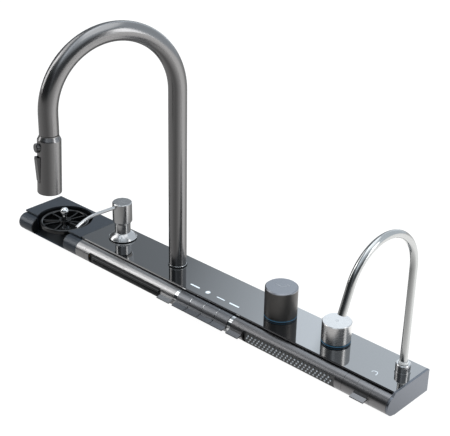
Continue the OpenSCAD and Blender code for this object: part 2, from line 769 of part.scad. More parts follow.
module purifier_collar() color("#d3d5d6") at(pure_c, 0) difference() {
  union() {
    translate([0, 0, bar_h]) cylinder(h = 1.5, r = pure_collar_r + 0.5);
    translate([0, 0, bar_h + 1.5]) cylinder(h = 10, r = pure_collar_r);
    translate([0, 0, bar_h + 11.5]) cylinder(h = 1, r1 = pure_collar_r, r2 = pure_collar_r - 1);
    translate([0, 0, cavity_top - 10]) cylinder(h = bar_h - cavity_top + 11, r = 6.5);
    translate([0, 0, base_t + fit]) cylinder(h = cavity_top - base_t - 2 * fit, r = 8.5);
  }
  translate([0, 0, base_t + fit - 1]) cylinder(h = inlet_l + 1, r = inlet_r);
  translate([0, 0, inlet_l + base_t + 4]) cylinder(h = 60, r = pure_r + fit);
}

module purifier_bush() color("#f1f2f0") at(pure_c, bar_h + 12.5) ring(3, pure_r + 1.3, pure_r + fit);

module pure_frame() { at(pure_c) rotate([0, 0, pure_swing]) children(); }
// The tail laps into the bend by this much, so that both are one tube
lap = 0.01;
pure_in = pure_r - pure_wall;
pure_foot = inlet_l + base_t + 5;
module purifier_tube() color("#d3d5d6") pure_frame() {
  translate([0, 0, pure_foot]) tube(bar_h + pure_z - pure_foot, pure_r, pure_in);
  translate([0, -pure_bend, bar_h + pure_z]) {
    rotate([90, 0, 90]) rotate_extrude(angle = pure_deg) translate([pure_bend, 0]) difference() {
      circle(r = pure_r);
      circle(r = pure_in);
    }
    rotate([pure_deg, 0, 0]) translate([0, pure_bend, -lap]) tube(pure_tail + lap, pure_r, pure_in);
  }
}
module purifier_tip() color("#1a1b1c") pure_frame()
  translate([0, -pure_bend, bar_h + pure_z]) rotate([pure_deg, 0, 0])
    translate([0, pure_bend, pure_tail - 7]) ring(6.4, pure_in - fit, 2);

/* Front tubes */

module sleeve(x0, l, r = tube_r) {
  difference() {
    rod(x0, l, r);
    rod(x0 - 1, l + 2, feed_r + fit);
  }
}

// Finger tab: a blade that leaves the tube at its front and dips a little
module tab(x0, l) {
  difference() {
    along(x0, l) translate([tube_y, tube_z]) polygon([[-8, 7.5], [-tube_r + 0.9, 4.6],
      [-tube_r - 1.2, 1.9], [-tube_r - tab_out, 0.2], [-tube_r - tab_out - 0.4, -0.5],
      [-tube_r - tab_out, -1.2], [-tube_r - 1, -0.6], [-tube_r + 0.6, -3.6], [-8, -7.5]]);
    rod(x0 - 1, l + 2, feed_r + 3);
  }
}

// Frame on the outlets' flat: x along the bar, y up across the flat, z out of the tube
module outlet_frame(x) {
  translate([x, tube_y, tube_z]) rotate([90 + outlet_deg, 0, 0]) children();
}

flat_in = feed_r + 0.5;
flat_out = 9.7;
module outlet_tube(x0, l, x_c, out_l) {
  difference() {
    rod(x0, l, tube_r);
    rod(x0 - 1, l + 2, feed_r + fit);
    difference() {
      rod(x0 + 6, l - 12, tube_r - tube_wall);
      rod(x0 + 5, l - 10, feed_r);
    }
    outlet_frame(x_c) translate([0, 0, flat_in - 0.2]) linear_extrude(10)
      rounded(out_l, outlet_h, 3.5);
  }
}

fall_out_l = fall_l - fall_in - tab_l - 1.6;
fall_c = x_fall + fall_in + fall_out_l / 2;
rain_out_l = rain_l - rain_in - tab_l + 2.4;
rain_c = x_rain + rain_l - rain_in - rain_out_l / 2;

module waterfall_tube() color("#8a8785") {
  outlet_tube(x_fall, fall_l, fall_c, fall_out_l);
  tab(x_fall + fall_l - tab_l, tab_l);
}

module rain_tube() color("#6f6d6b") {
  outlet_tube(x_rain, rain_l, rain_c, rain_out_l);
  tab(x_rain, tab_l - 2.6);
}

// Insert of the waterfall: a slot under a rounded lip, between low rims
module waterfall_outlet() color("#15181d") outlet_frame(fall_c) difference() {
  union() {
    translate([0, 0, flat_in]) linear_extrude(flat_out - flat_in)
      rounded(fall_out_l - 2 * free, outlet_h - 2 * free, 3.2);
    translate([-fall_out_l / 2 + 6, 2.2, flat_out - 0.4]) rotate([0, 90, 0])
      cylinder(h = fall_out_l - 12, r = 2.3);
    for (y = [-5.4, -3.4]) translate([-fall_out_l / 2 + 6, y, flat_out - 0.3])
      cube([fall_out_l - 12, 0.8, 1.4]);
  }
  translate([-fall_out_l / 2 + 8, -1.9, flat_in + 0.4]) cube([fall_out_l - 16, 1.6, 5]);
  translate([-fall_out_l / 2, -6, 0]) cube([fall_out_l, 12, flat_in]);
}

module rain_outlet() color("#15181d") outlet_frame(rain_c) translate([0, 0, flat_in])
  linear_extrude(flat_out - flat_in) rounded(rain_out_l - 2 * free, outlet_h - 2 * free, 3.2);

// Three staggered rows of soft nozzles
nozzle_cols = floor((rain_out_l - 6) / nozzle_pitch);
row_gap = 4.4;
module rain_nozzles() color("#cfd3d6") outlet_frame(rain_c) translate([0, 0, flat_out])
  for (row = [-1:1], i = [0:nozzle_cols - 1 - abs(row)])
    translate([(i - (nozzle_cols - 1 - abs(row)) / 2) * nozzle_pitch, row * row_gap, 0])
      cylinder(h = 1.5, r = nozzle_r);

module bright_collar() color("#a5a3a1") sleeve(x_collar + fit, collar_l - fit);
module bright_rings() color("#d9dbdd") {
  sleeve(x_ring1, ring_l);
  sleeve(x_ring2, ring_l);
  for (i = [1:key_n - 1]) sleeve(x_keys + i * key_w - spacer_t - fit_key, spacer_t);
}
module dark_collar() color("#5c5b5a") sleeve(x_collar2, collar2_l);

spacer_t = 0.6;
fit_key = 0.2;
module key(i) color("#4b4c4e") {
  x0 = x_keys + i * key_w;
  l = key_w - spacer_t - 2 * fit_key;
  sleeve(x0, l);
  tab(x0, l);
}
module key_1() { key(0); }
module key_2() { key(1); }
module key_3() { key(2); }
module key_4() { key(3); }

module side_lever() color("#6b6a68") {
  sleeve(x_lever, lever_l);
  tab(x_lever, lever_l - 1.5);
}

module end_nose() color("#5c5b5a") sleeve(x_end, end_nose_l - fit);

module feed_pipe() color("#b58f4a") difference() {
  rod(x_collar - 10, x_right - x_collar + 10 - fit, feed_r);
  rod(x_collar - 6, x_right - x_collar + 2, feed_r - 2);
}

/* Inside the housing */

module manifold() color("#b58f4a") difference() {
  x0 = inlet_x[0] - 12;
  l = inlet_x[1] - inlet_x[0] + 24;
  translate([x0, row_y - 11, base_t + fit]) cube([l, 22, 20]);
  for (x = inlet_x) at([x, row_y], base_t + fit - 1) cylinder(h = inlet_l + 1, r = inlet_r);
}

board_t = 1.6;
board_l = 40;
board_x = inlet_x[1] + 24;
module control_board() color("#1f5e3c") {
  translate([board_x, cavity_y + 4, base_t + 4])
    cube([board_l, back_y - wall - cavity_y - 8, board_t]);
  for (x = [6, board_l - 6], y = [cavity_y + 7, back_y - wall - 7])
    translate([board_x + x, y, base_t + fit]) cylinder(h = 4, r = 2.5);
}

base_housing();
bottom_plate();
end_plate();
left_cover();
glass_panel();
panel_marks();
rinser_basin();
rinser_wheel();
rinser_stem();
rinser_nozzle();
rinser_spring();
soap_gasket();
soap_flange();
pump_barrel();
pump_cap();
pump_stem();
pump_nozzle();
pump_spring();
post_ring();
post_spigot();
gooseneck();
spray_hose();
hose_end();
head_shell();
head_core();
spray_face();
head_button();
head_rocker();
rocker_pin();
dock_bush();
knob_lights();
main_cartridge();
main_stem();
main_knob();
main_knob_top();
main_spring();
knob_bases();
filter_cartridge();
filter_knob();
purifier_collar();
purifier_bush();
purifier_tube();
purifier_tip();
feed_pipe();
bright_collar();
waterfall_tube();
waterfall_outlet();
bright_rings();
key_1();
key_2();
key_3();
key_4();
rain_tube();
rain_outlet();
rain_nozzles();
dark_collar();
side_lever();
end_nose();
manifold();
control_board();
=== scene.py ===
# %% [markdown]
# # Kitchen faucet bar: the looks
# A long bar stands on the deck behind a sink. A tall pull-down spout, a soap pump, a cup
# rinser, two lit knobs and a thin purified water spout stand on it, and a row of turning
# tubes and push keys runs along its front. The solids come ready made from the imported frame,
# so this lesson gives them their finishes and adds the small things that solids don't carry.

# %% Load the frame
import math

import bpy
import numpy as np
from mathutils import Matrix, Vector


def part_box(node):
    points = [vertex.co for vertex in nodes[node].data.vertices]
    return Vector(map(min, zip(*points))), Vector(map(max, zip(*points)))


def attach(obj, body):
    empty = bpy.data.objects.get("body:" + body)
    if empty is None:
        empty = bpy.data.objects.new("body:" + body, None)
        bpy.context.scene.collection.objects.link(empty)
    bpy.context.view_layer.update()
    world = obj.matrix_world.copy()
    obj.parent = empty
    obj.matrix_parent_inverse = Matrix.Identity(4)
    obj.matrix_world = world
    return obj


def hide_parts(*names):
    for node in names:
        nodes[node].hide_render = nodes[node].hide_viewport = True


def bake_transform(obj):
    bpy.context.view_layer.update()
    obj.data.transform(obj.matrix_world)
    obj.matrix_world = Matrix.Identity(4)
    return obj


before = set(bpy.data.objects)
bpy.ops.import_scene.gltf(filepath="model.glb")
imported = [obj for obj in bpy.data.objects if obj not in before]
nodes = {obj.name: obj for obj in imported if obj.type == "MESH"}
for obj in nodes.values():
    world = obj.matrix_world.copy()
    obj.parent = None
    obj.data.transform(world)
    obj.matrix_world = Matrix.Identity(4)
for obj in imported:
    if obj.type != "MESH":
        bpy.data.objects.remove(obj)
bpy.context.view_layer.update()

# %% [markdown]
# ## The places that later cells use
# All places are in metres. The bar lies along X, the sink is on the side of negative Y, and
# the underside is at Z = 0. Each place is read from a solid's own box where that is possible,
# so a piece always sits on what carries it.


# %% Places read from the solids
def middle(node):
    """The middle of a solid's box: half of the lowest corner plus the highest corner."""
    low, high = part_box(node)
    return (np.array(low) + np.array(high)) / 2


BAR_LOW, BAR_HIGH = (np.array(c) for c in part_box("base_housing"))
DECK_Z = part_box("glass_panel")[1].z
POST = middle("post_ring")[:2]
HEAD = middle("dock_bush")[:2]
KNOB = middle("main_knob")[:2]
FILTER = middle("filter_knob")[:2]
PURE = middle("purifier_collar")[:2]
SOAP = middle("soap_flange")[:2]
RINSE = middle("rinser_stem")[:2]
TUBE_Y, TUBE_Z = middle("feed_pipe")[1:]
print("post", POST.round(4), "head", HEAD.round(4), "deck", round(DECK_Z, 4))

# %% [markdown]
# ## The camera
# The photograph looks down on the bar from the front and right. The camera's place and its
# turn were worked out from the bar's straight edges, so they are written as numbers: where the
# lens is, the compass angle and tilt of its view, a slight roll, and the focal length.

# %% Camera
EYE = np.array([0.9283, -0.9666, 0.7946])
TURN, TILT, ROLL = (math.radians(v) for v in (42.38, 26.36, 1.182))

forward = np.array([-math.sin(TURN) * math.cos(TILT), math.cos(TURN) * math.cos(TILT), -math.sin(TILT)])
right = np.array([math.cos(TURN), math.sin(TURN), 0.0])
upward = np.cross(right, forward)
cam_x = math.cos(ROLL) * right + math.sin(ROLL) * upward
cam_y = -math.sin(ROLL) * right + math.cos(ROLL) * upward

lens = bpy.data.cameras.new("photo_camera")
lens.sensor_width = 36.0
lens.lens = 88.47
camera = bpy.data.objects.new("photo_camera", lens)
bpy.context.scene.collection.objects.link(camera)
basis = np.eye(4)
basis[:3, 0], basis[:3, 1], basis[:3, 2], basis[:3, 3] = cam_x, cam_y, -forward, EYE
camera.matrix_world = Matrix(basis.tolist())
bpy.context.scene.camera = camera
print("camera looks along", forward.round(3))


# %% [markdown]
# ## Colours
# Colours are picked as the sRGB numbers that a screen shows, written in hexadecimal. Shaders
# work in linear light, so one function turns the first kind into the second.


# %% Colour helper
def srgb(code, alpha=1.0):
    """Linear light from a hex colour: c / 12.92 when c is small, else ((c + 0.055) / 1.055) ** 2.4."""
    values = [int(code[i : i + 2], 16) / 255 for i in (1, 3, 5)]
    return tuple(c / 12.92 if c <= 0.04045 else ((c + 0.055) / 1.055) ** 2.4 for c in values) + (alpha,)


print("slate in linear light", [round(c, 4) for c in srgb("#3a424c")])

# %% [markdown]
# ## Floor, sky and lamps
# The object stands on a plain pale floor. Polished metal and glass show what stands round
# them, so the surroundings matter as much as the lamps: a soft sky that is brighter on one
# side gives the glass panel its slow change from dark to light, and long soft boxes draw the
# straight highlights along the tubes. The sky is plain white where the camera sees it.


# %% Floor
def flat_plate(name, x0, y0, x1, y1, z):
    """A flat rectangle at height z: four corners and one face."""
    mesh = bpy.data.meshes.new(name)
    mesh.from_pydata([(x0, y0, z), (x1, y0, z), (x1, y1, z), (x0, y1, z)], [], [(0, 1, 2, 3)])
    obj = bpy.data.objects.new(name, mesh)
    bpy.context.scene.collection.objects.link(obj)
    return obj


floor = flat_plate("floor", -6.0, -5.0, 5.0, 7.0, -0.0004)
floor_paint = bpy.data.materials.new("pale floor")
floor_paint.use_nodes = True
paint = floor_paint.node_tree
matt = paint.nodes["Principled BSDF"]
matt.inputs["Base Color"].default_value = srgb("#fbfbfb")
matt.inputs["Roughness"].default_value = 0.9
matt.inputs["Specular IOR Level"].default_value = 0.1

# Most of the floor's white is its own light, so the object's shadow on it stays faint.
glow = paint.nodes.new("ShaderNodeEmission")
soft = paint.nodes.new("ShaderNodeMixShader")
glow.inputs["Strength"].default_value = 1.12
soft.inputs["Fac"].default_value = 0.87
paint.links.new(matt.outputs["BSDF"], soft.inputs[1])
paint.links.new(glow.outputs["Emission"], soft.inputs[2])

# What the metal mirrors: round the spout's foot the floor turns from dark to bright, with a
# window's light on one side. How far round is the dot product with the window's direction.
spot = paint.nodes.new("ShaderNodeTexCoord")
centred = paint.nodes.new("ShaderNodeMapping")
centred.inputs["Location"].default_value = (0.05, 0.0, 0.0)
unit = paint.nodes.new("ShaderNodeVectorMath")
unit.operation = "NORMALIZE"
reach = paint.nodes.new("ShaderNodeVectorMath")
reach.operation = "DOT_PRODUCT"
reach.inputs[1].default_value = (0.89, 0.456, 0.0)
half = paint.nodes.new("ShaderNodeMath")
half.operation = "MULTIPLY_ADD"
half.inputs[1].default_value = 0.5
half.inputs[2].default_value = 0.5
fade = paint.nodes.new("ShaderNodeValToRGB")


def set_stops(ramp, stops, tint=(1.0, 1.0, 1.0)):
    """Puts stops on a colour ramp: each is how far along it lies and how bright it is."""
    while len(ramp.elements) < len(stops):
        ramp.elements.new(0.5)
    for stop, (along, light) in zip(ramp.elements, stops):
        stop.position = along
        stop.color = tuple(light * c for c in tint) + (1.0,)


set_stops(fade.color_ramp, [(0.0, 0.20), (0.2, 0.14), (0.45, 0.11), (0.635, 0.16), (0.85, 0.30), (0.93, 0.42), (0.97, 0.60), (1.0, 0.60)])
mirrored = paint.nodes.new("ShaderNodeEmission")
seen_by = paint.nodes.new("ShaderNodeLightPath")
either = paint.nodes.new("ShaderNodeMixShader")
mirrored.inputs["Strength"].default_value = 2.5
paint.links.new(spot.outputs["Object"], centred.inputs["Vector"])
paint.links.new(centred.outputs["Vector"], unit.inputs[0])
paint.links.new(unit.outputs["Vector"], reach.inputs[0])
paint.links.new(reach.outputs["Value"], half.inputs[0])
paint.links.new(half.outputs["Value"], fade.inputs["Fac"])
paint.links.new(fade.outputs["Color"], mirrored.inputs["Color"])
paint.links.new(seen_by.outputs["Is Camera Ray"], either.inputs["Fac"])
paint.links.new(mirrored.outputs["Emission"], either.inputs[1])
paint.links.new(soft.outputs["Shader"], either.inputs[2])
paint.links.new(either.outputs["Shader"], paint.nodes["Material Output"].inputs["Surface"])
floor.data.materials.append(floor_paint)
print("floor", floor.dimensions[:2])

# %% Sky
world = bpy.data.worlds.new("studio sky")
bpy.context.scene.world = world
world.use_nodes = True
sky = world.node_tree
sky.nodes.clear()
sky_out = sky.nodes.new("ShaderNodeOutputWorld")
sky_light = sky.nodes.new("ShaderNodeBackground")
sky_seen = sky.nodes.new("ShaderNodeBackground")
sky_mix = sky.nodes.new("ShaderNodeMixShader")
ray_kind = sky.nodes.new("ShaderNodeLightPath")
direction = sky.nodes.new("ShaderNodeTexCoord")
toward = sky.nodes.new("ShaderNodeVectorMath")
shade = sky.nodes.new("ShaderNodeValToRGB")

# The bright side of the sky: how much a direction points along this one sets the brightness.
bright_side = np.array([0.81, 0.457, 0.364])
toward.operation = "DOT_PRODUCT"
toward.inputs[1].default_value = [float(v) for v in bright_side]
spread = sky.nodes.new("ShaderNodeMapRange")
spread.inputs["From Min"].default_value = -0.25
spread.inputs["From Max"].default_value = 0.25

# The narrow peak is a tall window, and the light is a little blue.
SKY_STOPS = [(0.0, 0.15), (0.15, 0.15), (0.41, 0.23), (0.60, 0.62), (0.64, 0.95), (0.69, 1.0), (0.71, 0.72), (0.88, 0.80), (1.0, 0.45)]
set_stops(shade.color_ramp, SKY_STOPS, (0.84, 0.92, 1.0))
sky_light.inputs["Strength"].default_value = 2.2

# Low in front of the object the room is dim, as behind the photographer.
split = sky.nodes.new("ShaderNodeSeparateXYZ")
height = sky.nodes.new("ShaderNodeMapRange")
behind = sky.nodes.new("ShaderNodeMapRange")
for part, source, low, high in ((height, "Z", 0.42, 0.75), (behind, "Y", 0.0, 0.4)):
    part.inputs["From Min"].default_value = low
    part.inputs["From Max"].default_value = high
    part.inputs["To Min"].default_value = 0.12
    sky.links.new(split.outputs[source], part.inputs["Value"])
lit = sky.nodes.new("ShaderNodeMath")
lit.operation = "MAXIMUM"
dim = sky.nodes.new("ShaderNodeVectorMath")
dim.operation = "SCALE"
sky.links.new(direction.outputs["Generated"], split.inputs["Vector"])
sky.links.new(height.outputs["Result"], lit.inputs[0])
sky.links.new(behind.outputs["Result"], lit.inputs[1])
sky.links.new(shade.outputs["Color"], dim.inputs["Vector"])
sky.links.new(lit.outputs["Value"], dim.inputs["Scale"])
sky_seen.inputs["Color"].default_value = (1, 1, 1, 1)
sky_seen.inputs["Strength"].default_value = 1.0
sky.links.new(direction.outputs["Generated"], toward.inputs[0])
sky.links.new(toward.outputs["Value"], spread.inputs["Value"])
sky.links.new(spread.outputs["Result"], shade.inputs["Fac"])
sky.links.new(dim.outputs["Vector"], sky_light.inputs["Color"])
sky.links.new(ray_kind.outputs["Is Camera Ray"], sky_mix.inputs["Fac"])
sky.links.new(sky_light.outputs["Background"], sky_mix.inputs[1])
sky.links.new(sky_seen.outputs["Background"], sky_mix.inputs[2])
sky.links.new(sky_mix.outputs["Shader"], sky_out.inputs["Surface"])
bpy.context.scene.view_settings.view_transform = "Standard"


# %% Lamps
def soft_box(name, place, aim, size, watts):
    """A rectangular lamp at a place, turned so that it faces the aim."""
    lamp = bpy.data.lights.new(name, "AREA")
    lamp.shape = "RECTANGLE"
    lamp.size, lamp.size_y = size
    lamp.energy = watts
    obj = bpy.data.objects.new(name, lamp)
    bpy.context.scene.collection.objects.link(obj)
    away = np.array(place, float) - np.array(aim, float)
    away /= np.linalg.norm(away)
    across = np.cross([0.0, 0.0, 1.0], away)
    across /= np.linalg.norm(across)
    turn = np.eye(4)
    turn[:3, 0], turn[:3, 1], turn[:3, 2], turn[:3, 3] = across, np.cross(away, across), away, place
    obj.matrix_world = Matrix(turn.tolist())
    return obj


soft_box("overhead box", (0.1, 0.2, 2.4), (0.0, 0.0, 0.1), (2.4, 1.6), 12)
soft_box("left box", (-1.9, -1.2, 1.1), (-0.1, 0.0, 0.15), (0.7, 1.5), 10)
soft_box("front box", (-1.3, -0.6, 1.6), (0.0, 0.0, 0.0), (1.6, 0.7), 5)
soft_box("right box", (1.9, 0.5, 0.9), (0.1, 0.0, 0.15), (0.5, 1.4), 8)

# %% [markdown]
# ## Finishes
# Every finish starts from one shader. A few small helpers add what real surfaces have: a
# grain that changes the roughness, a relief that bends the light, and a rounded look on the
# sharp edges of the solids. Sizes are given in millimetres and turned into the texture's own
# scale, which counts features per metre.


# %% Helpers for finishes
def finish(name, colour, metallic, roughness, **sockets):
    """A named shader with constants on its own sockets: colour, metal or not, roughness and the rest."""
    made = bpy.data.materials.new(name)
    made.use_nodes = True
    shader = made.node_tree.nodes["Principled BSDF"]
    shader.inputs["Base Color"].default_value = srgb(colour)
    shader.inputs["Metallic"].default_value = metallic
    shader.inputs["Roughness"].default_value = roughness
    for socket, value in sockets.items():
        shader.inputs[socket.replace("_", " ")].default_value = value
    return made


def shader_of(made):
    return made.node_tree.nodes["Principled BSDF"]


def grain(made, size_mm, stretch=(1, 1, 1), detail=3.0, from_uv=False):
    """A noise whose lumps are size_mm across, or longer along an axis whose stretch is small."""
    tree = made.node_tree
    place = tree.nodes.new("ShaderNodeTexCoord")
    turn = tree.nodes.new("ShaderNodeMapping")
    noise = tree.nodes.new("ShaderNodeTexNoise")
    turn.inputs["Scale"].default_value = stretch
    noise.inputs["Scale"].default_value = 1000.0 / size_mm
    noise.inputs["Detail"].default_value = detail
    tree.links.new(place.outputs["UV" if from_uv else "Object"], turn.inputs["Vector"])
    tree.links.new(turn.outputs["Vector"], noise.inputs["Vector"])
    return noise


def vary_roughness(made, noise, low, high):
    """The noise moves the roughness between two values: low + noise * (high - low)."""
    tree = made.node_tree
    spread = tree.nodes.new("ShaderNodeMapRange")
    spread.inputs["From Min"].default_value = 0.3
    spread.inputs["From Max"].default_value = 0.7
    spread.inputs["To Min"].default_value = low
    spread.inputs["To Max"].default_value = high
    tree.links.new(noise.outputs["Fac"], spread.inputs["Value"])
    tree.links.new(spread.outputs["Result"], shader_of(made).inputs["Roughness"])


def vary_colour(made, noise, dark, light):
    """The noise mixes two near colours, so that no area is one flat tone."""
    tree = made.node_tree
    ramp = tree.nodes.new("ShaderNodeValToRGB")
    ramp.color_ramp.elements[0].position = 0.32
    ramp.color_ramp.elements[0].color = srgb(dark)
    ramp.color_ramp.elements[1].position = 0.68
    ramp.color_ramp.elements[1].color = srgb(light)
    tree.links.new(noise.outputs["Fac"], ramp.inputs["Fac"])
    tree.links.new(ramp.outputs["Color"], shader_of(made).inputs["Base Color"])


def relief(made, noise, height_mm, strength=1.0, edge_mm=0.0):
    """The noise raises the surface by height_mm, and sharp edges look rounded by edge_mm."""
    tree = made.node_tree
    bump = tree.nodes.new("ShaderNodeBump")
    bump.inputs["Strength"].default_value = strength
    bump.inputs["Distance"].default_value = height_mm / 1000.0
    tree.links.new(noise.outputs["Fac"], bump.inputs["Height"])
    if edge_mm:
        edge = tree.nodes.new("ShaderNodeBevel")
        edge.samples = 4
        edge.inputs["Radius"].default_value = edge_mm / 1000.0
        tree.links.new(edge.outputs["Normal"], bump.inputs["Normal"])
    tree.links.new(bump.outputs["Normal"], shader_of(made).inputs["Normal"])


def dress(made, *names):
    """Gives the finish to every material slot of the named solids."""
    for name in names:
        solid = nodes[name].data
        if not solid.materials:
            solid.materials.append(made)
        for i in range(len(solid.materials)):
            solid.materials[i] = made


# %% [markdown]
# ## Slate powder coat on the bar
# The housing and the left cover are coated with a fine dark slate powder. Powder melts into a
# skin with a very low orange-peel relief, so the finish is satin: one noise of about a
# millimetre for the skin, and a wide weak one for the colour.

# %% Slate powder coat
slate = finish("slate powder coat", "#2c333c", 0.25, 0.36, Coat_Weight=0.3, Coat_Roughness=0.2)
vary_colour(slate, grain(slate, 60.0), "#2a313a", "#2f3740")
relief(slate, grain(slate, 1.1), 0.004, 0.5, 0.5)
dress(slate, "base_housing", "left_cover")

# %% [markdown]
# ## Black glass
# The top of the bar is a sheet of black tempered glass. Glass is far smoother than paint and
# mirrors the knobs, so its roughness stays near zero and only wipe marks vary it a little.

# %% Black glass
glass = finish("black tempered glass", "#0b0d10", 0.0, 0.04, IOR=2.5, Coat_Weight=1.0, Coat_Roughness=0.02)
vary_roughness(glass, grain(glass, 45.0, (0.5, 1, 1)), 0.02, 0.05)
dress(glass, "glass_panel")

# %% [markdown]
# ## Printed marks
# The small marks on the glass are a pale screen print that is lit softly from behind.

# %% Lit print
print_ink = finish("pale lit print", "#cfd9df", 0.0, 0.5, Emission_Color=srgb("#dfe9f0"), Emission_Strength=0.6)
relief(print_ink, grain(print_ink, 0.2), 0.002, 0.3)
dress(print_ink, "panel_marks")

# %% [markdown]
# ## Gunmetal
# The spout, the spray head and most of the front row are steel with a dark vapour coating over
# a brushed surface. The brush runs round each tube, which spreads the reflections along it: a
# noise that is long round the tube and short along it is added to the roughness and relief.
# The tubes of the front row lie along X, and the spout follows an arch, so each needs its own
# direction for "along".


# %% Brushed gunmetal
def brushed(name, colour, dark, light, stretch, low=0.24, high=0.36, metallic=1.0, size_mm=0.12, edge_mm=0.0):
    """Metal with a brush: the same stretched noise varies roughness, tone and relief together."""
    made = finish(name, colour, metallic, (low + high) / 2)
    lines = grain(made, size_mm, stretch, 4.0)
    vary_roughness(made, lines, low, high)
    vary_colour(made, lines, dark, light)
    relief(made, lines, 0.001, 0.015, edge_mm)
    return made


ROUND_X = (1.0, 0.02, 0.02)
ROUND_Z = (0.02, 0.02, 1.0)
gunmetal_row = brushed("gunmetal, brushed round the row", "#7a797a", "#797879", "#7b7a7b", ROUND_X, 0.27, 0.29)
gunmetal_head = brushed("gunmetal, brushed round the head", "#858484", "#848383", "#868585", ROUND_Z, 0.25, 0.27)
gunmetal_spout = brushed("gunmetal, brushed along the spout", "#868585", "#858484", "#878686", (1, 1, 0.04), 0.20, 0.24)
pale_row = brushed("pale gunmetal, brushed round the row", "#9f9e9e", "#9e9d9d", "#a09f9f", ROUND_X, 0.27, 0.29)
dress(gunmetal_row, "rain_tube", "dark_collar", "side_lever", "end_nose")
dress(gunmetal_head, "head_shell")
dress(gunmetal_spout, "gooseneck")
dress(pale_row, "waterfall_tube", "bright_collar")

key_metal = brushed("dark satin key metal", "#77787b", "#76777a", "#78797c", ROUND_X, 0.31, 0.33)
dress(key_metal, "key_1", "key_2", "key_3", "key_4")

# %% [markdown]
# ## Bright metals
# The soap pump, the filter knob and the purifier are bare stainless steel, turned or brushed.
# The spacer rings and the rinser's ball are chromed. The end plate is satin aluminium, brushed
# straight along its length.

# %% Bright metals
stainless = brushed("brushed stainless steel", "#bababa", "#b8b8b8", "#bcbcbc", ROUND_Z, 0.20, 0.26)
dress(stainless, "soap_flange", "pump_cap", "pump_nozzle", "purifier_collar")
knob_steel = brushed("bright turned knob steel", "#c8c7c6", "#c7c6c5", "#c9c8c7", ROUND_Z, 0.24, 0.30)
dress(knob_steel, "filter_knob")
polished = brushed("polished stainless tube", "#b4b5b4", "#b1b2b1", "#b7b8b7", (1, 1, 0.05), 0.14, 0.18)
dress(polished, "purifier_tube")
chrome = finish("chrome plate", "#dcdedf", 1.0, 0.07)
vary_roughness(chrome, grain(chrome, 3.0), 0.05, 0.10)
dress(chrome, "bright_rings", "rinser_nozzle")
turned = brushed("turned steel", "#a9adb0", "#9fa3a6", "#b3b7ba", ROUND_Z, 0.2, 0.3)
dress(turned, "rinser_stem", "pump_stem", "rocker_pin")
spring_wire = brushed("drawn spring wire", "#8f959a", "#858b90", "#999fa4", (1, 1, 1), 0.25, 0.4)
dress(spring_wire, "rinser_spring", "pump_spring", "main_spring")
end_alu = brushed("satin aluminium end", "#6f737a", "#6e7279", "#70747b", (1.0, 0.03, 1.0), 0.34, 0.38, 1.0, 0.4, 0.5)
dress(end_alu, "end_plate")
brass = brushed("turned brass", "#b08d4f", "#a58347", "#bb9858", ROUND_Z, 0.22, 0.34)
dress(brass, "post_spigot", "filter_cartridge", "main_cartridge", "main_stem", "manifold", "feed_pipe")
plate_steel = brushed("rolled steel underside", "#7f8388", "#777b80", "#878b90", (0.02, 1, 1), 0.35, 0.5)
dress(plate_steel, "bottom_plate")

# %% [markdown]
# ## Knobs and their lights
# The main knob's side has a fine dark texture that gives grip, and its cap is satin metal. A
# clear ring at the foot of both knobs spreads the light of blue lamps below it.

# %% Knob finishes
knob_side = finish("fine textured knob side", "#5c5a58", 0.85, 0.42)
knob_grain = grain(knob_side, 0.35, (1, 1, 1), 2.0)
vary_colour(knob_side, knob_grain, "#545250", "#646260")
relief(knob_side, knob_grain, 0.012, 0.4, 0.5)
dress(knob_side, "main_knob")
knob_cap = brushed("satin knob cap", "#8f9196", "#888a8f", "#96989d", (1.0, 0.04, 1.0), 0.3, 0.4)
dress(knob_cap, "main_knob_top")
lit_ring = finish("lit blue ring", "#3a5a70", 0.0, 0.35, Emission_Color=srgb("#4f7d9c"), Emission_Strength=0.22)
relief(lit_ring, grain(lit_ring, 0.8), 0.01, 0.3)
dress(lit_ring, "knob_lights")

# %% [markdown]
# ## Plastics and rubber
# The rinser's basin and wheel, the outlets in the tubes, and the head's button and rocker are
# moulded dark plastic. Moulds are etched, so the skin has a fine matt grain, and a fingertip
# polishes the button until it shines.


# %% Moulded parts
def moulded(name, colour, roughness, grain_mm=0.4, height_mm=0.006, edge_mm=0.3, **sockets):
    """Etched plastic: one fine noise for roughness and relief."""
    made = finish(name, colour, 0.0, roughness, **sockets)
    etched = grain(made, grain_mm, (1, 1, 1), 2.0)
    vary_roughness(made, etched, roughness - 0.05, roughness + 0.07)
    relief(made, etched, height_mm, 0.4, edge_mm)
    return made


basin_black = moulded("etched basin plastic", "#0f1113", 0.35)
wheel_black = moulded("semi-gloss wheel plastic", "#0b0c0e", 0.18)
outlet_black = moulded("outlet plastic", "#0d1014", 0.30)
core_grey = moulded("spray core plastic", "#232528", 0.38)
button_black = moulded("gloss button plastic", "#0c0d0f", 0.12, Coat_Weight=0.6, Coat_Roughness=0.05)
pump_grey = moulded("pump plastic", "#2c2f31", 0.35)
white_bush = moulded("white bush plastic", "#f1f2f0", 0.25)
seal_black = moulded("seal rubber", "#0d0e0f", 0.6, 0.5, 0.01)
tip_pale = moulded("pale nozzle rubber", "#c3c8cc", 0.45)
board_green = moulded("board lacquer", "#1f5e3c", 0.3)
hose_black = moulded("hose rubber", "#33363a", 0.5)
dress(basin_black, "rinser_basin")
dress(wheel_black, "rinser_wheel")
dress(outlet_black, "waterfall_outlet", "rain_outlet", "knob_bases")
dress(core_grey, "head_core", "spray_face", "dock_bush", "purifier_tip")
dress(button_black, "head_button", "head_rocker")
dress(pump_grey, "pump_barrel")
dress(white_bush, "purifier_bush")
dress(seal_black, "soap_gasket", "post_ring")
dress(tip_pale, "rain_nozzles")
dress(board_green, "control_board")
dress(hose_black, "hose_end", "spray_hose")

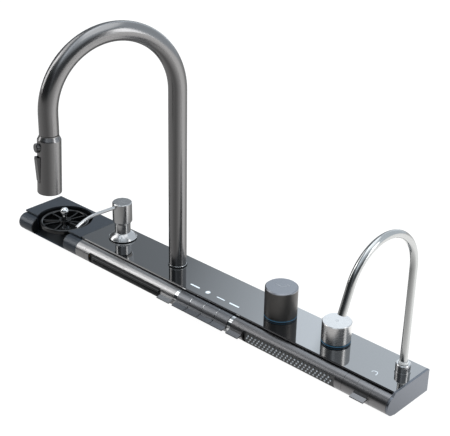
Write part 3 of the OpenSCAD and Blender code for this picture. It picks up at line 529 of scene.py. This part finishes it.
# %% [markdown]
# ## Small pieces
# The solids carry the main forms. What a hand would notice next is small: the hose, seals,
# screws, rubber nozzles, threads and the marks on the knobs. Each one is a surface: a grid of
# points that a formula gives for two parameters, joined into four-sided faces.


# %% Surface from a grid
import bmesh


def surface(name, points, made, body, wrap_u=True, wrap_v=False):
    """Joins a grid of points into faces. The face at (i, j) has corners i, i + 1 and j, j + 1, and a
    wrapped direction joins its last row to its first. Poles that fall together are merged, and the
    faces are turned outwards."""
    rows, cols = points.shape[:2]
    i = np.arange(rows if wrap_u else rows - 1)
    j = np.arange(cols if wrap_v else cols - 1)
    i, j = np.meshgrid(i, j, indexing="ij")
    i2, j2 = (i + 1) % rows, (j + 1) % cols
    quads = np.stack([i * cols + j, i2 * cols + j, i2 * cols + j2, i * cols + j2], axis=-1).reshape(-1, 4)
    mesh = bpy.data.meshes.new(name)
    mesh.from_pydata(points.reshape(-1, 3).tolist(), [], quads.tolist())
    shell = bmesh.new()
    shell.from_mesh(mesh)
    bmesh.ops.remove_doubles(shell, verts=shell.verts, dist=1e-7)
    bmesh.ops.recalc_face_normals(shell, faces=shell.faces)
    shell.to_mesh(mesh)
    shell.free()
    mesh.polygons.foreach_set("use_smooth", np.ones(len(mesh.polygons), bool))
    mesh.materials.append(made)
    obj = bpy.data.objects.new(name, mesh)
    bpy.context.scene.collection.objects.link(obj)
    if body:
        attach(obj, body)
    return obj


def lathe(profile, centre, turns=64):
    """Carries a profile of (radius, height) pairs in millimetres round an axis through centre:
    x = r cos(a), y = r sin(a), z = h."""
    r, h = np.array(profile, float).T / 1000
    a = np.linspace(0, 2 * np.pi, turns, endpoint=False)[:, None]
    ring = np.stack([r * np.cos(a), r * np.sin(a), h + 0 * a], axis=-1)
    return ring + np.array(centre)


def scatter(name, shape, places, made, body):
    """Repeats one closed grid at many places as one mesh: every point plus every place."""
    places = np.array(places, float)
    rows, cols = shape.shape[:2]
    i, j = np.meshgrid(np.arange(rows), np.arange(cols - 1), indexing="ij")
    i2 = (i + 1) % rows
    quads = np.stack([i * cols + j, i2 * cols + j, i2 * cols + j + 1, i * cols + j + 1], axis=-1).reshape(-1, 4)
    points = (shape.reshape(1, -1, 3) + places[:, None, :]).reshape(-1, 3)
    steps = (np.arange(len(places)) * rows * cols)[:, None, None]
    mesh = bpy.data.meshes.new(name)
    mesh.from_pydata(points.tolist(), [], (quads[None] + steps).reshape(-1, 4).tolist())
    shell = bmesh.new()
    shell.from_mesh(mesh)
    bmesh.ops.remove_doubles(shell, verts=shell.verts, dist=1e-7)
    bmesh.ops.recalc_face_normals(shell, faces=shell.faces)
    shell.to_mesh(mesh)
    shell.free()
    mesh.polygons.foreach_set("use_smooth", np.ones(len(mesh.polygons), bool))
    mesh.materials.append(made)
    obj = bpy.data.objects.new(name, mesh)
    bpy.context.scene.collection.objects.link(obj)
    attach(obj, body)
    return obj


# %% [markdown]
# ## The braided hose
# The head pulls out on a hose that slides through the bend. The solid under it is a plain rod
# that only stands for its place, so a finer tube replaces it: a straight tube round the head's
# axis whose skin has the shallow ribs of a braid. It is not carried by the spout or the head.

# %% Braided hose
braid = finish("braided hose cover", "#3b3e42", 0.0, 0.42, Sheen_Weight=0.2)
weave = grain(braid, 0.5, (1, 1, 1), 1.0)
strands = braid.node_tree.nodes.new("ShaderNodeTexWave")
strands.wave_type = "BANDS"
strands.bands_direction = "Z"
strands.inputs["Scale"].default_value = 130.0
strands.inputs["Distortion"].default_value = 1.5
along_hose = braid.node_tree.nodes.new("ShaderNodeTexCoord")
braid.node_tree.links.new(along_hose.outputs["Object"], strands.inputs["Vector"])
vary_colour(braid, strands, "#2c2f33", "#5a5e63")
vary_roughness(braid, weave, 0.36, 0.5)
relief(braid, strands, 0.25, 0.5)
HOSE_LOW, HOSE_HIGH = (corner.z * 1000 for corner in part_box("hose_end"))
heights = np.linspace(HOSE_LOW, HOSE_HIGH, 60)
rib = 6.85 + 0.12 * np.cos(2 * np.pi * (heights - HOSE_LOW) / 1.6)
skin = [(0, HOSE_LOW)] + list(zip(rib, heights)) + [(0, HOSE_HIGH)]
hose = surface("braided_hose", lathe(skin, (HEAD[0], HEAD[1], 0)), braid, None)
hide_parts("hose_end")
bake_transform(hose)
print("hose from", round(HOSE_LOW, 1), "to", round(HOSE_HIGH, 1), "mm")

# %% [markdown]
# ## Springs under pressed parts
# Three springs sit under the rinser's wheel, the pump's plunger and the main knob. Each is a
# round wire on a helix that fills the place of the spring's solid, from the fixed part below to
# under the pressed one; it stays fixed in place and does not close up when the part is pressed.


# %% Springs
def helix(node, wire_mm, turns):
    """A round wire on a helix that fills the box of a solid: at angle a the wire's centre is at
    (R cos a, R sin a, h a), and b goes round its section: R + r cos(b), height r sin(b)."""
    low, high = (np.array(corner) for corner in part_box(node))
    wire = wire_mm / 1000
    middle = (low + high) / 2
    radius = (high[0] - low[0]) / 2 - wire
    a = np.linspace(0, 2 * np.pi * turns, 24 * turns + 1)[:, None]
    b = np.linspace(0, 2 * np.pi, 10, endpoint=False)
    rise = low[2] + wire + (high[2] - low[2] - 2 * wire) * a / a.max()
    out = radius + wire * np.cos(b)
    coil = np.stack([out * np.cos(a), out * np.sin(a), rise + wire * np.sin(b)], axis=-1)
    poles = [np.repeat(coil[end].mean(axis=0)[None, None], 10, axis=1) for end in (0, -1)]
    coil = np.concatenate([poles[0], coil, poles[1]]) + np.array([middle[0], middle[1], 0])
    return coil, (middle[0], middle[1], low[2]), (middle[0], middle[1], high[2])


SPRINGS = [("rinser_spring", 0.5, 5, "rinser"), ("pump_spring", 0.6, 7, "pump_rod"),
           ("main_spring", 0.5, 3, "knob_rod")]
for node, wire_mm, turns, pressed in SPRINGS:
    coil, foot, top = helix(node, wire_mm, turns)
    spring = surface(node + "_coil", coil, spring_wire, None, False, True)
    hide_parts(node)
    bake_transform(spring)
    print(node, "from", round(foot[2] * 1000, 1), "to", round(top[2] * 1000, 1), "mm")

# %% [markdown]
# ## Seals and trims round the tubes
# A black ring closes the joint of the head, and a thin bright trim and a seal lie round the foot
# of the spout. They are rings with a round section: radius R + r cos(b), height r sin(b).


# %% Rings
def torus(name, centre, ring_mm, wire_mm, made, body, squash_z=1.0):
    """A ring with an oval section: radius R + r cos(b), height k r sin(b)."""
    b = np.linspace(0, 2 * np.pi, 16, endpoint=False)
    a = np.linspace(0, 2 * np.pi, 96, endpoint=False)[:, None]
    radius = (ring_mm + wire_mm * np.cos(b)) / 1000
    z = wire_mm * squash_z * np.sin(b) / 1000 + 0 * a
    points = np.stack([radius * np.cos(a), radius * np.sin(a), z], axis=-1) + np.array(centre)
    return surface(name, points, made, body, True, True)


SEAM_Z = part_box("dock_bush")[0].z
FOOT_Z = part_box("gooseneck")[0].z
torus("head_joint_seal", (HEAD[0], HEAD[1], SEAM_Z - 0.0001), 11.6, 0.55, seal_black, "spout", 0.7)
torus("spout_foot_trim", (POST[0], POST[1], FOOT_Z + 0.0009), 12.75, 0.28, chrome, "spout", 1.6)
torus("soap_foot_trim", (SOAP[0], SOAP[1], DECK_Z + 0.0017), 20.75, 0.3, chrome, "deck_body")

# The rinser's lip follows the edge of the cover, which is open at the front: it is an arc that
# starts and ends where the circle meets the cover's front edge.
LIP_R, LIP_WIRE = 0.04345, 0.00035
meet = np.arcsin((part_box("left_cover")[0].y + 0.001 - RINSE[1]) / LIP_R)
b = np.linspace(0, 2 * np.pi, 12, endpoint=False)
a = np.linspace(meet, np.pi - meet, 97)[:, None]
lip = np.stack([(LIP_R + LIP_WIRE * np.cos(b)) * np.cos(a), (LIP_R + LIP_WIRE * np.cos(b)) * np.sin(a),
                LIP_WIRE * np.sin(b) + 0 * a], axis=-1)
tips = [np.repeat(lip[end].mean(axis=0)[None, None], 12, axis=1) for end in (0, -1)]
lip = np.concatenate([tips[0], lip, tips[1]]) + np.array([RINSE[0], RINSE[1], DECK_Z - 0.0003])
surface("rinser_lip", lip, seal_black, "deck_body", False, True)
print("rings at", round(SEAM_Z, 4), round(FOOT_Z, 4))

# %% [markdown]
# ## Spray face
# Water leaves the head through soft nozzles that a thumb can rub clean, in two rings round a wire
# mesh aerator. Each nozzle is a small cone with a round lip, turned from one profile.

# %% Spray nozzles and aerator
rubber_grey = moulded("soft grey nozzle rubber", "#8d9398", 0.5)
FACE_LOW, FACE_HIGH = (np.array(c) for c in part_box("spray_face"))
LEAN = math.radians(2.6)
SWING = math.radians(-14.65)
AWAY = np.array([math.sin(SWING), -math.cos(SWING)])
DOWN = np.array([AWAY[0] * math.sin(LEAN), AWAY[1] * math.sin(LEAN), -math.cos(LEAN)])
JOINT = np.array([HEAD[0], HEAD[1], SEAM_Z])
ACROSS = np.array([math.cos(SWING), math.sin(SWING), 0.0])
FORTH = np.cross(ACROSS, DOWN)


def on_head(points_mm, depth_mm):
    """Places points given across and along the spray face, depth_mm below the head's joint."""
    x, y, z = np.moveaxis(np.array(points_mm, float) / 1000, -1, 0)
    place = x[..., None] * ACROSS + y[..., None] * FORTH + (z[..., None] + depth_mm / 1000) * DOWN
    return place + JOINT


# The face lies 0.8 mm inside the head's lower end.
FACE_DEPTH = 0.9 + 78.6 - 0.8
turn = np.radians(np.concatenate([np.arange(0, 360, 24), np.arange(12, 372, 24)]))
reach_mm = np.repeat([6.6, 10.0], 15)
spots = np.stack([reach_mm * np.cos(turn), reach_mm * np.sin(turn), 0 * turn], axis=-1)
cone = lathe([(0, -0.4), (0.85, -0.4), (0.8, 0.2), (0.62, 0.55), (0.3, 0.62), (0.28, 0.3), (0, 0.3)], (0, 0, 0), 10)
cone_on_head = on_head(cone * 1000, FACE_DEPTH) - JOINT - FACE_DEPTH / 1000 * DOWN
nubs = scatter("spray_nozzles", cone_on_head, on_head(spots, FACE_DEPTH), rubber_grey, "spray_head")

wire_mesh = finish("aerator wire mesh", "#b9bdc0", 1.0, 0.25)
weft = grain(wire_mesh, 0.25, (1, 1, 1), 0.0)
vary_colour(wire_mesh, weft, "#4c4f52", "#c9cdd0")
relief(wire_mesh, weft, 0.05, 0.6)
dome = [(0, 0.15), (1.2, 0.13), (2.4, 0.05), (3.6, -0.1), (3.9, -0.2), (3.9, -0.8), (0, -0.8)]
aerator = lathe(dome, (0, 0, 0), 48) * 1000
surface("aerator_mesh", on_head(aerator, FACE_DEPTH), wire_mesh, "spray_head")
print("spray nozzles", len(spots))

# %% [markdown]
# ## Marks on the knobs
# A thin pale line on the main knob's cap bends up like a tick and ends in an arrow, as a sign for
# lift, and the filter knob carries a small ring. A mark is a ribbon: the points of its middle
# line, moved sideways by half its width to each side, then given a little thickness.


# %% Marks
def ribbon(name, path_mm, width_mm, z, centre, made, body, turn_deg=0.0):
    """A flat strip along a path: each point is moved by half the width along the path's normal, on
    the left and on the right, at the top and at the foot of the strip."""
    path = np.array(path_mm, float)
    step = np.gradient(path, axis=0)
    step /= np.linalg.norm(step, axis=1, keepdims=True)
    side = np.stack([-step[:, 1], step[:, 0]], axis=1) * width_mm / 2
    left, right_side = path + side, path - side
    c, s = math.cos(math.radians(turn_deg)), math.sin(math.radians(turn_deg))
    spin = np.array([[c, s], [-s, c]])
    loops = []
    for edge, height in ((left, 0.0), (left, 0.00006), (right_side, 0.00006), (right_side, 0.0)):
        flat = edge @ spin / 1000 + np.array(centre)
        loops.append(np.column_stack([flat, np.full(len(flat), z + height)]))
    loops = np.array(loops)
    tips = loops[:, [0, -1]].mean(axis=0)[None].repeat(4, axis=0)
    closed = np.concatenate([tips[:, :1], loops, tips[:, 1:]], axis=1)
    return surface(name, closed, made, body, True, False)


mark_grey = finish("pale cap print", "#b4b7bb", 0.2, 0.4)
relief(mark_grey, grain(mark_grey, 0.15), 0.002, 0.3)
KNOB_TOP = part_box("main_knob_top")[1].z
FILTER_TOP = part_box("filter_knob")[1].z
TICK = 20.0
ribbon("knob_mark_line", [(-10, 3.2), (-5, 0.6), (0, -2), (4.5, 1.4), (9, 4.8)], 0.8, KNOB_TOP, KNOB, mark_grey, "knob", TICK)
ribbon("knob_mark_arrow", [(5.2, 6.0), (9.4, 5.1), (8.6, 1.0)], 0.8, KNOB_TOP, KNOB, mark_grey, "knob", TICK)
ring_path = [(1.7 * math.cos(a), 1.7 * math.sin(a)) for a in np.linspace(0, 2 * math.pi, 33)]
ribbon("filter_mark", ring_path, 0.5, FILTER_TOP, FILTER, mark_grey, "filter_tap")
print("marks on the caps at", round(KNOB_TOP, 4), round(FILTER_TOP, 4))

# %% [markdown]
# ## Rinser screws
# Five small screws sit in the pockets round the wheel's hub. A screw's head is a low dome whose
# edge is rounded, turned from one profile and repeated.

# %% Screws
screw_steel = brushed("blackened screw steel", "#55595d", "#4d5155", "#5d6165", ROUND_Z, 0.25, 0.35)
around = np.radians(np.arange(5) * 72 + 36 + 90)
hub_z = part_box("rinser_wheel")[0].z + 0.0049
screw_spots = np.stack([RINSE[0] + 0.0063 * np.cos(around), RINSE[1] + 0.0063 * np.sin(around), np.full(5, hub_z)], axis=-1)
head = [(0, 0), (1.15, 0), (1.2, 0.3), (1.1, 0.75), (0.75, 1.0), (0.45, 1.05), (0.42, 0.7), (0, 0.7)]
scatter("hub_screws", lathe(head, (0, 0, 0), 16), screw_spots, screw_steel, "rinser")

print("screws in the hub", len(screw_spots))

# %% [markdown]
# ## Threads of the inlets
# Three inlets take screwed hose tails. A thread is a helix, so the wall's radius depends on both
# the angle and the height: r = R - d * |2 frac(h / pitch - a / 2 pi) - 1|.


# %% Threads
def thread(name, centre, radius_mm, low_mm, high_mm, made, body, pitch=1.0, depth=0.45):
    """The inner wall of a threaded hole, with a plain wall behind it so that the shell is closed."""
    h = np.linspace(low_mm, high_mm, int((high_mm - low_mm) / pitch * 12) + 1)
    a = np.linspace(0, 2 * np.pi, 48, endpoint=False)[:, None]
    phase = (h / pitch - a / (2 * np.pi)) % 1.0
    fade_in = np.clip(np.minimum(h - low_mm, high_mm - h) / 0.6, 0, 1)
    inner = radius_mm - 0.02 - depth * np.abs(2 * phase - 1) * fade_in
    wall = np.full_like(inner, radius_mm)
    radius = np.concatenate([inner, wall[:, ::-1]], axis=1) / 1000
    z = np.concatenate([h, h[::-1]]) / 1000 + 0 * a
    points = np.stack([radius * np.cos(a), radius * np.sin(a), z], axis=-1) + np.array([centre[0], centre[1], 0])
    return surface(name, points, made, body, True, True)


MANIFOLD_LOW, MANIFOLD_HIGH = (np.array(c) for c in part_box("manifold"))
inlet_y = (MANIFOLD_LOW[1] + MANIFOLD_HIGH[1]) / 2
for name, x in (("hot_thread", MANIFOLD_LOW[0] + 0.012), ("cold_thread", MANIFOLD_HIGH[0] - 0.012)):
    thread(name, (x, inlet_y), 4.5, 2.3, 12.0, brass, "deck_body")
thread("pure_thread", PURE, 4.5, 2.3, 12.0, stainless, "deck_body")
print("threads at", round(float(inlet_y), 4))
